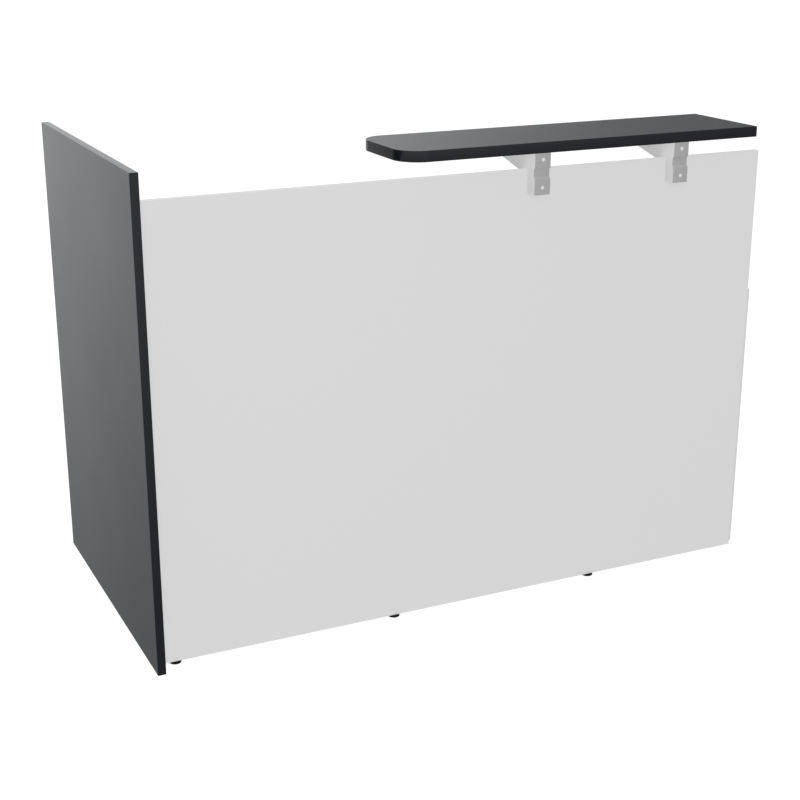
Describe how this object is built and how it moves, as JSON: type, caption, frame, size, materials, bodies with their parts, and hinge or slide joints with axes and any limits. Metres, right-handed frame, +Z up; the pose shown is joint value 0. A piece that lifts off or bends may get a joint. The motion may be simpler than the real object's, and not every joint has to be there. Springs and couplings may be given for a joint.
{
  "type": "reception desk",
  "caption": "Reception desk with a tall dark end panel, a white front panel on levelling feet, a worktop behind it and a raised counter shelf on steel saddle brackets.",
  "frame": {"origin": "on the floor under the middle of the desk's box", "axes": "+X to the right along the front as the visitor sees it, +Y from the visitor's side to the receptionist's side, +Z up"},
  "size_m": [1.601, 0.8, 1.12],
  "materials": {
    "dark_laminate": "anthracite melamine-faced board, satin",
    "dark_edging": "anthracite plastic edging, 2 mm, rounded",
    "white_laminate": "white melamine-faced board, fine grain",
    "white_edging": "white plastic edging, 2 mm, rounded",
    "light_steel": "light grey powder coat on folded steel",
    "silver_steel": "silver powder coat on folded steel",
    "zinc_steel": "bright zinc-plated steel",
    "diecast_zinc": "bare die-cast zinc",
    "foot_steel_black": "black-coated steel levelling foot"
  },
  "bodies": {
    "desk": {"bracket_left_channel": "light_steel", "bracket_left_cross_block": "zinc_steel", "bracket_left_front_plate": "silver_steel", "bracket_left_lower_bolt": "zinc_steel", "bracket_left_panel_insert": "zinc_steel", "bracket_left_shelf_screw_front": "zinc_steel", "bracket_left_shelf_screw_rear": "zinc_steel", "bracket_left_upper_screw": "zinc_steel", "bracket_right_channel": "light_steel", "bracket_right_cross_block": "zinc_steel", "bracket_right_front_plate": "silver_steel", "bracket_right_lower_bolt": "zinc_steel", "bracket_right_panel_insert": "zinc_steel", "bracket_right_shelf_screw_front": "zinc_steel", "bracket_right_shelf_screw_rear": "zinc_steel", "bracket_right_upper_screw": "zinc_steel", "cam_bolt_front_lower": "zinc_steel", "cam_bolt_front_middle": "zinc_steel", "cam_bolt_front_upper": "zinc_steel", "cam_bolt_worktop_front": "zinc_steel", "cam_bolt_worktop_rear": "zinc_steel", "cam_front_lower": "diecast_zinc", "cam_front_middle": "diecast_zinc", "cam_front_upper": "diecast_zinc", "cam_worktop_front": "diecast_zinc", "cam_worktop_rear": "diecast_zinc", "corner_angle_lower": "zinc_steel", "corner_angle_upper": "zinc_steel", "counter_shelf": "dark_laminate", "counter_shelf_right_edging": "dark_edging", "counter_shelf_wrap_edging": "dark_edging", "front_panel": "white_laminate", "front_panel_right_edging": "white_edging", "front_panel_top_edging": "white_edging", "left_end_front_edging": "dark_edging", "left_end_panel": "dark_laminate", "left_end_rear_edging": "dark_edging", "left_end_top_edging": "dark_edging", "right_end_front_edging": "white_edging", "right_end_panel": "white_laminate", "right_end_rear_edging": "white_edging", "socket_end_front": "zinc_steel", "socket_end_rear": "zinc_steel", "socket_front_left": "zinc_steel", "socket_front_middle": "zinc_steel", "socket_front_right": "zinc_steel", "worktop": "dark_laminate", "worktop_angle_front": "zinc_steel", "worktop_angle_rear": "zinc_steel", "worktop_arm_left": "light_steel", "worktop_arm_right": "light_steel", "worktop_cable_edging": "dark_edging", "worktop_right_edging": "dark_edging", "worktop_user_edging": "dark_edging"},
    "foot_end_front_body": {"foot_end_front": "foot_steel_black"},
    "foot_end_rear_body": {"foot_end_rear": "foot_steel_black"},
    "foot_front_left_body": {"foot_front_left": "foot_steel_black"},
    "foot_front_middle_body": {"foot_front_middle": "foot_steel_black"},
    "foot_front_right_body": {"foot_front_right": "foot_steel_black"}
  },
  "joints": [
    {"name": "foot_end_front_level", "type": "slide", "parent": "desk", "child": "foot_end_front_body", "axis": [0, 0, -1], "range_m": [0, 0.01]},
    {"name": "foot_end_rear_level", "type": "slide", "parent": "desk", "child": "foot_end_rear_body", "axis": [0, 0, -1], "range_m": [0, 0.01]},
    {"name": "foot_front_left_level", "type": "slide", "parent": "desk", "child": "foot_front_left_body", "axis": [0, 0, -1], "range_m": [0, 0.01]},
    {"name": "foot_front_middle_level", "type": "slide", "parent": "desk", "child": "foot_front_middle_body", "axis": [0, 0, -1], "range_m": [0, 0.01]},
    {"name": "foot_front_right_level", "type": "slide", "parent": "desk", "child": "foot_front_right_body", "axis": [0, 0, -1], "range_m": [0, 0.01]}
  ]
}
